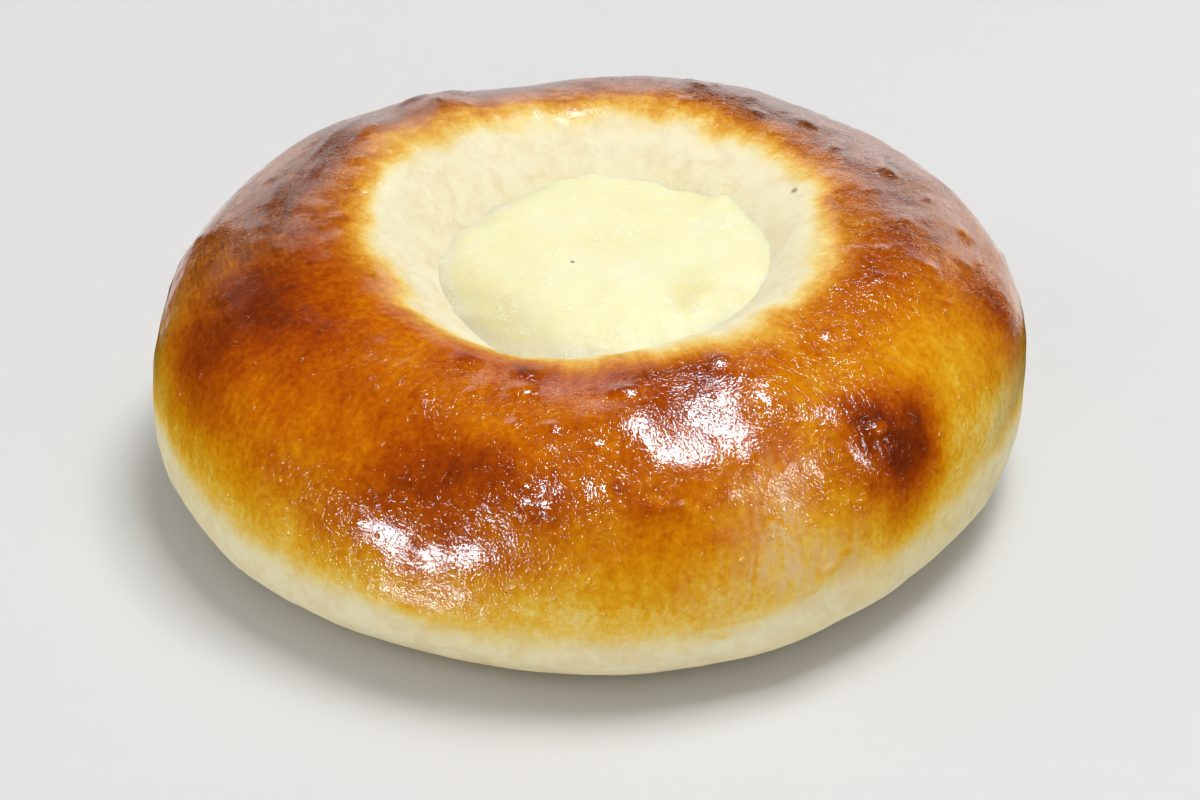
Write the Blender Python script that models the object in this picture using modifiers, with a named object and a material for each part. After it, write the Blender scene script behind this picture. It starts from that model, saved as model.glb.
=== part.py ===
"""A cheese bun: a round bun of yeast dough with a well pressed into its top, and curd cheese baked in the well.

Metres, +Z up. The origin is the middle of the flat foot that the bun was baked on.
-Y is the front of the bun, and an azimuth is counted from +X towards +Y.
"""

import math

import bmesh
import bpy
from mathutils import Vector, noise

MM = 0.001

# Driving dimensions of the dough
BUN_RADIUS = 60 * MM
WAIST_HEIGHT = 12 * MM
FOOT_RADIUS = 45 * MM
CREST_RADIUS = 34.5 * MM
CREST_HEIGHT = 40.5 * MM
WELL_DEPTH = 17 * MM

# Driving dimensions of the curd cheese
FILLING_RADIUS = 23 * MM
FILLING_CROWN = 1.6 * MM
FILLING_LIP = 1.0 * MM
# The cheese clears the well by this much, which is more than the facets of the two cut into
SEAT_GAP = 0.37 * MM

# How round the section is: 1 is an ellipse, and less is fuller
SHOULDER_POWER = 0.76
TUCK_POWER = 0.95
# How far out the steep part of the well's side lies: 1 is halfway
WELL_SPREAD = 1.42
# The uneven outline starts at this share of the crest's radius, and the uneven lip of the filling's
BLEND_START = 0.8

# Waves round the bun: how many to a turn, how large, and the azimuth of a top in degrees
OUTLINE_WAVES = ((2, 0.050, 15), (3, 0.021, 40), (4, 0.0035, 8), (5, 0.004, 0))
CREST_WAVES = ((1, 3.1 * MM, 76), (2, 1.0 * MM, -30), (5, 0.3 * MM, 70))
LIP_WAVES = ((1, 1.3 * MM, 115), (2, 1.3 * MM, 29), (3, 0.5 * MM, -29), (7, 0.3 * MM, 30))
FILLING_WAVES = ((1, 1.7 * MM, 12), (3, 0.5 * MM, 15))
FILLING_RAGGEDNESS = 1.1 * MM
FILLING_SCALLOPS = 3.2

# Swellings and dents in the crust: azimuth, tilt round the roll (0 waist, 90 crest), height, spread
SWELLINGS = (
    (-104, 100, 1.5 * MM, 3.6 * MM),
    (-121, 103, 1.0 * MM, 3.4 * MM),
    (-76, 96, 0.9 * MM, 5.0 * MM),
    (-88, 62, 1.0 * MM, 7.0 * MM),
    (-66, 72, 0.9 * MM, 8.0 * MM),
    (-103, 45, 1.0 * MM, 5.0 * MM),
    (-45, 40, 0.8 * MM, 7.0 * MM),
    (-60, 30, -0.9 * MM, 6.0 * MM),
    (-30, 55, -0.7 * MM, 6.0 * MM),
    (-118, 30, 0.6 * MM, 7.0 * MM),
    (150, 65, 0.8 * MM, 6.0 * MM),
    (128, 78, 0.9 * MM, 4.5 * MM),
    (20, 60, 0.7 * MM, 6.0 * MM),
    (-5, 30, 0.7 * MM, 5.0 * MM),
    (75, 70, 0.6 * MM, 7.0 * MM),
    (200, 35, -0.7 * MM, 8.0 * MM),
    (60, 35, 0.7 * MM, 9.0 * MM),
    (105, 40, -0.6 * MM, 8.0 * MM),
)
UNEVENNESS = 0.55 * MM
UNEVENNESS_SIZE = 15 * MM
# The relief sets in between these two heights above the foot, and this far outside the cheese
RELIEF_HEIGHTS = (0.5 * MM, 6 * MM)
RELIEF_CLEAR_OF_CHEESE = 3 * MM

# The fold and the lumps in the top of the cheese
FOLD_PLACE = Vector((11.0 * MM, -3.0 * MM, 0))
FOLD_DEPTH = 1.1 * MM
FOLD_SPREAD = 3.0 * MM
LUMP_HEIGHT = 0.75 * MM
LUMP_SIZE = 7.5 * MM

# How finely the solids are cut
BUN_STEPS = 120
FILLING_STEPS = 72
FILLING_ROWS = 22
WELL_ROWS = 15
SHOULDER_ROWS = 17
TUCK_ROWS = 7

CRUST_COLOUR = (0.52, 0.19, 0.02, 1)
CHEESE_COLOUR = (0.93, 0.87, 0.56, 1)


def clear_scene():
    for found in list(bpy.data.objects):
        bpy.data.objects.remove(found)


def smooth_step(low, high, value):
    share = min(1.0, max(0.0, (value - low) / (high - low)))
    return share * share * (3 - 2 * share)


def wave(azimuth, waves):
    """The sum of some waves round the bun, in this direction."""
    return sum(size * math.cos(lobes * (azimuth - math.radians(top))) for lobes, size, top in waves)


def well_height(radius):
    """The nominal height of the well's surface, from its floor at the axis to the crest."""
    share = min(1.0, radius / CREST_RADIUS)
    rise = (1 - math.cos(math.pi * share**WELL_SPREAD)) / 2
    return CREST_HEIGHT - WELL_DEPTH * (1 - rise)


def shoulder_point(tilt):
    """(radius, height) on the nominal crust, from the waist at tilt 0 to the crest at a quarter turn."""
    across = max(0.0, math.cos(tilt)) ** SHOULDER_POWER
    up = max(0.0, math.sin(tilt)) ** SHOULDER_POWER
    radius = CREST_RADIUS + (BUN_RADIUS - CREST_RADIUS) * across
    return radius, WAIST_HEIGHT + (CREST_HEIGHT - WAIST_HEIGHT) * up


def tuck_point(turn):
    """(radius, height) under the waist, from the waist at turn 0 to the foot at a quarter turn."""
    across = max(0.0, math.cos(turn)) ** TUCK_POWER
    down = max(0.0, math.sin(turn)) ** TUCK_POWER
    return FOOT_RADIUS + (BUN_RADIUS - FOOT_RADIUS) * across, WAIST_HEIGHT * (1 - down)


def bun_section():
    """Half of the dough's section, from the well's middle over the crest and down to the foot's middle."""
    quarter = math.pi / 2
    radii = [CREST_RADIUS * i / WELL_ROWS for i in range(WELL_ROWS)]
    section = [(radius, well_height(radius)) for radius in radii]
    section += [shoulder_point(quarter * (1 - i / SHOULDER_ROWS)) for i in range(SHOULDER_ROWS)]
    section += [tuck_point(quarter * i / TUCK_ROWS) for i in range(TUCK_ROWS)]
    return section + [(FOOT_RADIUS, 0.0), (FOOT_RADIUS / 2, 0.0), (0.0, 0.0)]


def push_out(azimuth, radius, height):
    """Carries a point of the turned bun out and up to the uneven bun's own outline, crest and lip."""
    outer = smooth_step(CREST_RADIUS * BLEND_START, BUN_RADIUS, radius)
    lip = smooth_step(FILLING_RADIUS * BLEND_START, CREST_RADIUS, radius) * (1 - outer)
    radius += radius * outer * wave(azimuth, OUTLINE_WAVES) + lip * wave(azimuth, LIP_WAVES)
    # The filling's middle stays level, and the crest rises and falls round it
    share = smooth_step(0, CREST_RADIUS, radius) * height / CREST_HEIGHT
    height += share * wave(azimuth, CREST_WAVES)
    return Vector((radius * math.cos(azimuth), radius * math.sin(azimuth), height))


def crust_point(azimuth, tilt):
    """A point of the crust, by its azimuth and its tilt round the roll, both in degrees."""
    if tilt <= 90:
        radius, height = shoulder_point(math.radians(tilt))
    else:
        radius = CREST_RADIUS * (1 - math.sin(math.radians(tilt - 90)))
        height = well_height(radius)
    return push_out(math.radians(azimuth), radius, height)


def turned_mesh(name, section, steps):
    """A section turned round the Z axis, as a closed mesh."""
    mesh = bpy.data.meshes.new(name)
    points = [(radius, 0, height) for radius, height in section]
    mesh.from_pydata(points, [(i, i + 1) for i in range(len(points) - 1)], [])
    profile = bpy.data.objects.new(name + "_profile", mesh)
    bpy.context.scene.collection.objects.link(profile)
    screw = profile.modifiers.new("Turn", "SCREW")
    screw.axis = "Z"
    screw.steps = steps
    screw.render_steps = steps
    screw.use_merge_vertices = True
    screw.merge_threshold = 0.05 * MM
    graph = bpy.context.evaluated_depsgraph_get()
    turned = bpy.data.meshes.new_from_object(profile.evaluated_get(graph))
    turned.name = name
    bpy.data.objects.remove(profile)
    bpy.data.meshes.remove(mesh)
    return turned


def crust_relief(place, swellings):
    """How far the crust stands proud at a point: its broad unevenness and its named swellings."""
    relief = UNEVENNESS * noise.noise(place / UNEVENNESS_SIZE)
    for centre, height, spread in swellings:
        relief += height * math.exp(-((place - centre).length_squared) / (2 * spread**2))
    return relief


def relief_share(place):
    """The part of the relief that a point takes: none on the foot, nor where the cheese lies."""
    radius = math.hypot(place.x, place.y)
    above_foot = smooth_step(*RELIEF_HEIGHTS, place.z)
    return above_foot * smooth_step(FILLING_RADIUS + RELIEF_CLEAR_OF_CHEESE, CREST_RADIUS, radius)


def make_dough(collection):
    mesh = turned_mesh("bun", bun_section(), BUN_STEPS)
    swellings = [(crust_point(a, t), height, spread) for a, t, height, spread in SWELLINGS]
    bm = bmesh.new()
    bm.from_mesh(mesh)
    for vertex in bm.verts:
        x, y, z = vertex.co
        vertex.co = push_out(math.atan2(y, x), math.hypot(x, y), z)
    bm.normal_update()
    moves = [
        (vertex, vertex.normal * relief_share(vertex.co) * crust_relief(vertex.co, swellings))
        for vertex in bm.verts
    ]
    for vertex, move in moves:
        vertex.co += move
    finish_solid("bun", mesh, bm, collection, CRUST_COLOUR, roughness=0.32)


def filling_top(share, place, edge_height):
    """The height of the cheese's upper face at a share of its radius."""
    crown = FILLING_CROWN * (1 - share**2) + FILLING_LIP * (1 - share**8)
    lumps = LUMP_HEIGHT * noise.noise(place / LUMP_SIZE + Vector((3.1, 0.4, 0)))
    fold = FOLD_DEPTH * math.exp(-((place - FOLD_PLACE).length_squared) / (2 * FOLD_SPREAD**2))
    return edge_height + crown + (lumps - fold) * smooth_step(1, 0.6, share)


def filling_edge(azimuth):
    """The radius of the cheese's ragged edge in this direction."""
    turn = Vector((math.cos(azimuth), math.sin(azimuth), 0.7)) * FILLING_SCALLOPS
    return FILLING_RADIUS + wave(azimuth, FILLING_WAVES) + FILLING_RAGGEDNESS * noise.noise(turn)


def filling_point(azimuth, share, upper):
    """A point of the cheese by azimuth and share of its radius, on its upper or its lower face."""
    edge = filling_edge(azimuth)
    seat = push_out(azimuth, edge * share, well_height(edge * share) + SEAT_GAP)
    if not upper:
        return seat
    # The cheese is level, and only its outermost part climbs or drops to meet the well's side
    rim = well_height(FILLING_RADIUS) + SEAT_GAP
    edge_point = push_out(azimuth, edge, well_height(edge) + SEAT_GAP)
    level = rim + (edge_point.z - rim) * share**6
    seat.z = filling_top(share, Vector((seat.x, seat.y, 0)), level)
    return seat


def make_filling(collection):
    mesh = bpy.data.meshes.new("cheese_filling")
    bm = bmesh.new()
    bmesh.ops.create_uvsphere(bm, u_segments=FILLING_STEPS, v_segments=FILLING_ROWS, radius=1)
    for vertex in bm.verts:
        x, y, z = vertex.co
        share = min(1.0, math.hypot(x, y))
        vertex.co = filling_point(math.atan2(y, x), share, z > 0)
    finish_solid("cheese_filling", mesh, bm, collection, CHEESE_COLOUR, roughness=0.4)


def finish_solid(name, mesh, bm, collection, colour, roughness):
    """Writes the shaped mesh to a named object with its own material."""
    bm.to_mesh(mesh)
    bm.free()
    mesh.shade_smooth()
    material = bpy.data.materials.new(name)
    material.use_nodes = True
    shader = material.node_tree.nodes["Principled BSDF"]
    shader.inputs["Base Color"].default_value = colour
    shader.inputs["Roughness"].default_value = roughness
    mesh.materials.append(material)
    collection.objects.link(bpy.data.objects.new(name, mesh))


def main():
    clear_scene()
    collection = bpy.data.collections.new("cheese_bun")
    bpy.context.scene.collection.children.link(collection)
    make_dough(collection)
    make_filling(collection)


main()
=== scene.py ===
import math

import bmesh
import bpy
import numpy as np
from mathutils import Matrix, Quaternion, Vector, noise


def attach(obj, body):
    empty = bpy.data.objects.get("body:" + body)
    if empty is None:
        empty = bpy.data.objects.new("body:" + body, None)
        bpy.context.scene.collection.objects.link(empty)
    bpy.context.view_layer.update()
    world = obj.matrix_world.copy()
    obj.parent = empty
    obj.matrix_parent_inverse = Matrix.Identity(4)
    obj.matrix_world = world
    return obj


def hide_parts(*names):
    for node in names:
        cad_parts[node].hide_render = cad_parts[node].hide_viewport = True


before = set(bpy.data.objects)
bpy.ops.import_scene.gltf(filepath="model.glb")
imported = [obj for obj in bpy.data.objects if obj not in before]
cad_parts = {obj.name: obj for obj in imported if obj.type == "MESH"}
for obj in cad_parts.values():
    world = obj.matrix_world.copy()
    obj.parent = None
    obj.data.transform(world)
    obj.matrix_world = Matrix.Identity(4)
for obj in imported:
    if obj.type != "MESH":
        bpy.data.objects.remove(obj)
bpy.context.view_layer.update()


# The bun: one round of yeast dough with a glass pressed into its middle, left to rise again,
# brushed with beaten egg all over but for the well and the foot, and baked on a tray until it
# browned in patches. Its crust is one skin, stretched and blistered where the dough rose most.
MM = 0.001
WAIST_HEIGHT = 12 * MM
CREST_HEIGHT = 40.5 * MM
CREST_RADIUS = 34.5 * MM
BUN_RADIUS = 60 * MM
# Waves of the outline: how many go round, their share of the radius, the azimuth of one's top
OUTLINE_WAVES = ((2, 0.050, 15), (3, 0.021, 40), (4, 0.0035, 8), (5, 0.004, 0))

# Dents and swellings of the risen crust: azimuth, tilt round the roll, height, spread
CRUST_FORMS = (
    (-69, 60, -1.1 * MM, 6.5 * MM),
    (-57, 66, 0.4 * MM, 3.0 * MM),
    (-48, 60, -0.6 * MM, 4.0 * MM),
    (-60, 58, 0.35 * MM, 2.5 * MM),
    (-84, 62, 0.3 * MM, 3.5 * MM),
    (-112, 38, -0.4 * MM, 6.5 * MM),
    (-112, 9, 0.5 * MM, 6.0 * MM),
    (-96, 44, 0.7 * MM, 4.0 * MM),
    (-84, 40, 0.45 * MM, 2.6 * MM),
    (-72, 30, -0.5 * MM, 3.5 * MM),
    (-62, 24, 0.5 * MM, 4.5 * MM),
    (-46, 42, 0.6 * MM, 4.0 * MM),
    (-38, 33, -0.5 * MM, 3.5 * MM),
    (-8, 36, 0.6 * MM, 3.5 * MM),
    (158, 92, 0.4 * MM, 4.5 * MM),
    (156, 60, -0.4 * MM, 4.0 * MM),
    (146, 72, 0.4 * MM, 3.0 * MM),
    (138, 70, -0.3 * MM, 2.5 * MM),
    (125, 74, 0.25 * MM, 3.0 * MM),
)

# Small raised welts of the skin: azimuth, tilt, half-length round the bun and half-width in mm,
# height in mm, browning
WELTS = (
    (21, 73, 2.6, 1.5, 0.42, 0.04),
    (4, 57, 2.8, 1.7, 0.45, -0.10),
    (-11, 65, 1.6, 1.3, 0.32, -0.06),
    (-10, 80, 1.4, 1.1, 0.30, 0.02),
    (45, 74, 3.2, 1.5, 0.40, 0.12),
    (70, 72, 2.4, 1.4, 0.35, 0.08),
    (33, 79, 1.6, 1.2, 0.26, 0.04),
    (12, 66, 1.4, 1.1, 0.26, -0.04),
    (28, 66, 2.2, 1.0, 0.24, 0.04),
    (2, 74, 1.8, 1.0, 0.24, 0.06),
    (54, 80, 2.0, 1.0, 0.22, 0.04),
    (153, 71, 6.5, 1.2, 0.30, 0.10),
    (147, 78, 5.5, 1.0, 0.26, 0.08),
    (160, 76, 6.0, 1.0, 0.28, 0.08),
    (165, 71, 4.5, 1.0, 0.26, -0.06),
    (141, 70, 4.0, 1.2, 0.30, 0.10),
    (130, 69, 3.5, 1.3, 0.34, 0.16),
    (121, 70, 3.0, 1.2, 0.30, 0.14),
    (168, 68, 5.0, 1.0, 0.18, 0.08),
    (176, 74, 5.0, 0.9, 0.16, 0.08),
    (-105, 88, 2.6, 2.2, 0.55, 0.16),
    (-104, 78, 2.2, 1.6, 0.45, -0.08),
    (-84, 78, 3.0, 1.6, 0.45, 0.14),
    (-63, 83, 1.8, 1.6, 0.40, 0.16),
    (-119, 90, 2.6, 2.0, 0.45, 0.12),
    (-86, 43, 1.6, 1.2, 0.45, 0.14),
    (-79, 37, 1.5, 1.2, 0.40, 0.10),
    (-82, 40, 1.4, 1.2, -0.30, -0.10),
    (-57, 9, 3.2, 0.9, 0.60, 0.04),
    (-61, 5, 2.8, 0.8, 0.50, 0.03),
    (-54, 13, 2.0, 0.8, 0.50, 0.05),
    (-64, 10, 1.6, 1.4, 0.45, 0.06),
    (-72, -3, 2.6, 1.0, 0.50, 0.05),
    (-78, -5, 2.0, 0.9, 0.45, 0.03),
    (-46, 41, 2.0, 1.2, 0.60, -0.25),
    (-67, 44, 1.0, 2.6, 0.35, 0.05),
    (-71, 37, 0.9, 2.2, 0.35, 0.08),
    (-90, 55, 1.8, 0.8, 0.30, 0.04),
    (-97, 62, 1.6, 0.9, 0.30, 0.04),
    (-51.5, 39, 0.9, 4.5, 0.30, 0.00),
    (-49, 38, 1.0, 4.2, -0.35, 0.06),
    (-47, 36, 0.9, 4.0, 0.30, 0.02),
    (-46.5, 26, 0.8, 3.0, 0.28, 0.02),
    (-49, 26, 0.8, 3.0, 0.25, 0.00),
    (-99, 42, 1.6, 0.9, 0.35, 0.00),
    (-95, 36, 1.4, 0.9, 0.35, 0.00),
    (-97, 33, 1.5, 0.8, -0.30, 0.05),
    (-93, 30, 1.3, 0.8, 0.30, 0.00),
)
WELT_ROUNDNESS = 1.3
# The finest unevenness that is real shape: height, size, place in the noise
SKIN_RELIEF = ((0.20 * MM, 6.5 * MM, 0.0), (0.09 * MM, 2.6 * MM, 5.0))
LIP_RELIEF = ((0.25 * MM, 3.5 * MM, 23.0),)
# The heights, and the tilts, over which the relief sets in above the foot, on the lip and ends
ABOVE_FOOT = (1 * MM, 6 * MM)
ON_LIP = (96, 104)
INTO_WELL = (112, 126)

# The tilt at which the well's cream begins and the foot's ends, all round the bun by azimuth
WELL_EDGE = (
    (-150, 110),
    (-138, 111),
    (-124, 119),
    (-110, 109),
    (-96, 107.5),
    (-78, 103.5),
    (-52, 94.5),
    (-25, 98),
    (5, 103),
    (40, 100),
    (72, 95.5),
    (100, 94),
    (135, 98),
    (165, 100),
)
FOOT_EDGE = ((-165, 9), (-135, 4), (-105, 0), (-78, -1), (-52, 7), (-28, 11), (-10, 8), (60, 3), (130, 7))
# How both wander: degrees, size, place in the noise. The well's has fibres and tufts
WELL_FIBRES = ((1.6, 0.06, 0.0), (4.0, 0.25, 3.0))
WELL_TUFTS = ((5.5, 6 * MM, 4.0), (2.5, 2.5 * MM, 6.0))
FOOT_WANDER = ((2.4, 9 * MM, 7.0), (1.2, 2.5 * MM, 9.0))
# Degrees of tilt past the well's edge over which each thing changes
BROWNING_ENDS = (-21, 7)
BRINK_BEGINS = (-22, -6)
GLAZE_ENDS = (-14, 1)
CREAM_BEGINS = (-4, 10)
# The same past the foot's edge. The browning comes in two steps, each with its share
GLAZE_BEGINS = (-2, 10)
BROWNING_BEGINS = ((0.24, -7, 5), (0.29, 2, 28))

# Patches' edges wander by this many degrees: amount, size, place in the noise
RAGGED_TURN = ((2.6, 8 * MM, 11.0), (1.2, 3 * MM, 13.0))
RAGGED_TILT = ((4.5, 8 * MM, 15.0), (2.0, 3 * MM, 17.0))
PATCH_SOFTNESS = 1.4
BROWNING_CLOUDS = ((0.05, 12 * MM, 19.0),)
SOLE_BROWNING = 0.42
SOLE_CLOUDS = ((0.12, 10 * MM, 21.0),)
# The side that faced away from the oven's heat
COOL_AZIMUTH = -50
COOL_SWING = 0.06

# Where the crust took more or less colour: azimuth, tilt, half its width and height in degrees, amount
BROWNING = (
    (-163, 52, 9, 24, 0.26),
    (-152, 66, 7, 14, 0.14),
    (-140, 60, 12, 18, 0.05),
    (-107, 43, 7, 9, 0.30),
    (-118, 38, 6, 7, 0.12),
    (-97, 38, 5, 8, 0.14),
    (-104, 92, 4, 8, 0.18),
    (-121, 88, 5, 9, 0.12),
    (-128, 104, 5, 9, -0.10),
    (-78, 83, 6, 4, 0.16),
    (-67, 80, 4, 7, 0.22),
    (-84, 38, 4, 7, 0.12),
    (-95, 16, 14, 9, -0.06),
    (-63, 20, 4, 13, -0.10),
    (-83, 24, 13, 9, -0.05),
    # This row pales the left edge: partly a paler crust, partly painted sheen at the grazing edge
    (-172, 38, 7, 16, -0.20),
    (-38, 4, 14, 7, 0.08),
    (20, 86, 22, 7, 0.12),
    (-120, 50, 12, 11, 0.08),
    (-150, 36, 14, 12, 0.04),
    (-41, 29, 5.5, 13, 0.48),
    (-46, 44, 4, 7, 0.30),
    (-27, 40, 8, 18, -0.14),
    (-16, 22, 8, 12, -0.10),
    (-9, 41, 4, 8, 0.36),
    (-16, 80, 9, 10, 0.14),
    (-72, 62, 11, 15, 0.22),
    (-90, 60, 10, 14, 0.06),
    (-112, 22, 11, 9, 0.24),
    (-112, 8, 10, 6, 0.06),
    (-86, 88, 24, 8, 0.12),
    (2, 96, 10, 6, 0.16),
    # These six rows darken the far shoulders: partly deeper browning, partly painted shade where they face
    # away from the light
    (16, 72, 22, 16, 0.16),
    (62, 70, 20, 12, 0.22),
    (150, 72, 20, 9, 0.22),
    (110, 68, 18, 9, 0.16),
    (176, 62, 10, 16, 0.14),
    (90, 45, 40, 18, 0.14),
    (60, 30, 14, 12, -0.10),
    (115, 35, 12, 14, 0.14),
    (30, 25, 12, 10, 0.12),
)
# Marks inside the well: where the brush slipped, and thin tan lines of painted shadow in the crease along the
# cheese's back edge
WELL_STAINS_AND_CREASE_SHADOW = (
    (-128, 109, 3, 9, 0.12),
    (-143, 110, 4, 5, 0.05),
    (108, 113.5, 8, 1.8, 0.13),
    (84, 112.5, 7, 1.8, 0.08),
    (68, 114, 6, 2.0, 0.12),
    (60, 116, 4, 2.0, 0.12),
    (42, 113.5, 8, 1.8, 0.13),
    (22, 114, 6, 1.8, 0.08),
    (128, 118, 7, 2.0, 0.09),
    (8, 112, 16, 9, 0.04),
)
# Where egg ran over the well's brink and dried in beads
SPILT_EGG = (
    (140, 97, 9, 5, 0.6),
    (166, 103, 6, 6, 0.6),
    (170, 108, 5, 6, 0.6),
    (124, 99, 5, 4, 0.5),
    (104, 93, 5, 3, 0.5),
)
# Where the egg soaked in and dried without a shine
SOAKED = ((-162, 74, 13, 12, 0.85), (-148, 86, 18, 13, 0.90))
# The one small pit in the well, painted dark as painted shade: its middle and its size
PIT = (28.3 * MM, 11.6 * MM, 40.7 * MM)
PIT_RADIUS = 0.5 * MM
# The far shoulder, turned away from the light, is painted a darker, duller brown instead of amber: painted
# shade
SHADED_SHOULDER = (
    (150, 62, 28, 28, 0.9),
    (178, 54, 14, 28, 0.8),
    (110, 66, 28, 24, 0.9),
    (70, 64, 28, 24, 0.9),
    (30, 62, 26, 26, 0.9),
    (4, 60, 14, 24, 0.7),
)
# Where the egg hardly reached, and the skin stayed tan and dull
RUBBED = (
    (-64, 22, 4, 13, 0.62),
    (-70, 12, 5, 6, 0.35),
    (-56, 10, 6, 6, 0.45),
    (-10, 18, 5, 9, 0.30),
)
# Where the glaze dried crinkled, over the little that it did everywhere
CRINKLE_EVERYWHERE = 0.30
CRINKLES = (
    (-72, 63, 13, 16, 0.70),
    (-112, 20, 13, 12, 0.50),
    (-120, 7, 12, 7, 0.30),
    (-97, 38, 8, 12, 0.75),
    (-66, 40, 8, 14, 0.50),
    (-44, 36, 8, 16, 0.60),
    (-86, 84, 28, 10, 0.40),
    (-6, 38, 7, 10, 0.70),
    (-30, 80, 22, 12, 0.30),
    (135, 94, 12, 8, 0.80),
    (155, 97, 10, 6, 0.80),
    (108, 88, 14, 8, 0.70),
    (156, 74, 14, 8, 0.60),
    (25, 72, 30, 16, 0.50),
    (75, 72, 24, 10, 0.40),
)
# Blisters: the size of the largest and smallest, and how far they stand up for their radius
BLISTER_RADII = (0.7 * MM, 1.6 * MM)
BLISTER_RISE = 0.16
BLISTER_ROUNDNESS = 1.4

# Dough from raw to dark, as the oven colours it
BAKING_COLOURS = (
    (0.00, (0.755, 0.690, 0.455)),
    (0.10, (0.750, 0.625, 0.285)),
    (0.20, (0.760, 0.500, 0.085)),
    (0.30, (0.720, 0.370, 0.014)),
    (0.42, (0.650, 0.245, 0.003)),
    (0.56, (0.510, 0.125, 0.002)),
    (0.72, (0.340, 0.054, 0.002)),
    (0.88, (0.190, 0.026, 0.003)),
    (1.00, (0.100, 0.015, 0.005)),
)
# The darker, duller browns of the far shoulder's painted shade
SHADED_SHOULDER_COLOURS = (
    (0.15, (0.620, 0.360, 0.080)),
    (0.35, (0.500, 0.200, 0.020)),
    (0.60, (0.300, 0.080, 0.008)),
    (0.85, (0.130, 0.030, 0.006)),
)
WELL_EDGE_COLOURS = (
    (0.00, (0.755, 0.690, 0.470)),
    (0.10, (0.760, 0.640, 0.330)),
    (0.20, (0.740, 0.520, 0.150)),
    (0.32, (0.680, 0.350, 0.050)),
    (0.45, (0.580, 0.225, 0.018)),
    (0.60, (0.420, 0.120, 0.006)),
)
WELL_CREAM = (0.765, 0.713, 0.508)
HOLLOW_SHADE_TINT = (0.94, 0.88, 0.80)
RUBBED_TAN = (0.69, 0.47, 0.23)
PIT_SHADE_BROWN = (0.16, 0.13, 0.06)

# Noises of the skin's colour and fine relief: features per metre, detail, roughness, distortion
CLOUDS = (170, 4, 0.6)
MOTTLES = (1150, 4, 0.68)
FLECKS = (400, 3, 0.55)
PUFFS = (300, 4, 0.62, 0.6)
FINE_PUFFS = (900, 3, 0.6)
GOOSE_FLESH = (2600, 1.5, 0.6)
LUMPS = (560, 2, 0.5, 0.5)
CREASES = (620, 1.5, 0.5, 0.7)
# The same for those that run along a way over the bun, whose unit is no metre
STREAKS = (42, 4, 0.6, 0.4)
DASHES = (42, 3, 0.6, 0.5)
STRANDS = (22, 4, 0.65, 1.6)
FIBRES = (18, 3, 0.6, 1.2)
FRECKLES_PER_METRE = 330
PINHOLES_PER_METRE = 1700
# How far each one darkens or pales the browning
CLOUD_REACH, MOTTLE_REACH, DASH_REACH, FLECK_REACH = 0.16, 0.20, 0.26, 0.12
BLISTER_TOP = 0.06
STREAK_AT_EDGE, MOTTLE_AT_EDGE, STREAK_ON_GLAZE = 0.08, 0.5, 0.10

# Roughness of the skin bare and under the egg, the egg's share of shine, and the relief's depth
BARE_ROUGHNESS, GLAZED_ROUGHNESS = 0.72, 0.42
EGG_SHINE = 0.95
SKIN_DEPTH = 0.085 * MM


def smooth_step(low, high, value):
    share = np.clip((value - low) / (high - low), 0, 1)
    return share * share * (3 - 2 * share)


def fine_copy(node, name, levels):
    """A new object with a CAD node's faceted solid as a finely divided smooth skin."""
    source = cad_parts[node].data
    mesh = bpy.data.meshes.new(name)
    mesh.from_pydata([v.co for v in source.vertices], [], [p.vertices[:] for p in source.polygons])
    bm = bmesh.new()
    bm.from_mesh(mesh)
    bmesh.ops.remove_doubles(bm, verts=bm.verts, dist=0.01 * MM)
    bmesh.ops.join_triangles(
        bm,
        faces=bm.faces,
        angle_face_threshold=math.radians(50),
        angle_shape_threshold=math.radians(60),
    )
    bm.to_mesh(mesh)
    bm.free()
    piece = bpy.data.objects.new(name, mesh)
    bpy.context.scene.collection.objects.link(piece)
    divide = piece.modifiers.new("Divide", "SUBSURF")
    divide.levels = divide.render_levels = levels
    settle(piece)
    return piece


def settle(piece):
    """Makes what the piece's modifiers give its plain mesh, and takes them off."""
    graph = bpy.context.evaluated_depsgraph_get()
    made = bpy.data.meshes.new_from_object(
        piece.evaluated_get(graph), preserve_all_data_layers=True, depsgraph=graph
    )
    old = piece.data
    piece.modifiers.clear()
    piece.data = made
    made.name = piece.name
    bpy.data.meshes.remove(old)
    made.shade_smooth()


def places_of(mesh):
    return np.array([v.co for v in mesh.vertices])


def normals_of(mesh):
    return np.array([v.normal for v in mesh.vertices])


def move_to(mesh, places):
    mesh.vertices.foreach_set("co", places.astype(np.float32).ravel())


def grain(places, size, offset=0.0):
    """Smooth noise over some points, from about -1 to 1, with features of this size."""
    return np.array([noise.noise(Vector(p) / size + Vector((offset, 0, 0))) for p in places])


def layers(places, rows, total=0.0):
    """Some grains on top of a total, each by its height, its size and its place in the noise."""
    for height, size, offset in rows:
        total = total + height * grain(places, size, offset)
    return total


def all_round(azimuth, table):
    """What a table of azimuths and values gives at each azimuth."""
    return np.interp(azimuth, *zip(*table), period=360)


def round_the_roll(places):
    """Each point's azimuth and its tilt round the roll: 0 at the waist, 90 at the crest, more in the well."""
    azimuth = np.arctan2(places[:, 1], places[:, 0])
    wave = sum(s * np.cos(n * (azimuth - math.radians(t))) for n, s, t in OUTLINE_WAVES)
    radius = np.hypot(places[:, 0], places[:, 1]) / (1 + wave)
    outward = (radius - CREST_RADIUS) / (BUN_RADIUS - CREST_RADIUS)
    upward = (places[:, 2] - WAIST_HEIGHT) / (CREST_HEIGHT - WAIST_HEIGHT)
    outer = np.degrees(np.arctan2(upward, outward))
    inner = 90 + 90 * (1 - radius / CREST_RADIUS)
    foot = places[:, 2] < WAIST_HEIGHT
    tilt = np.where((radius > 0.98 * CREST_RADIUS) | foot, outer, inner)
    return np.degrees(azimuth), np.where(tilt > 179, -90, tilt)


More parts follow.
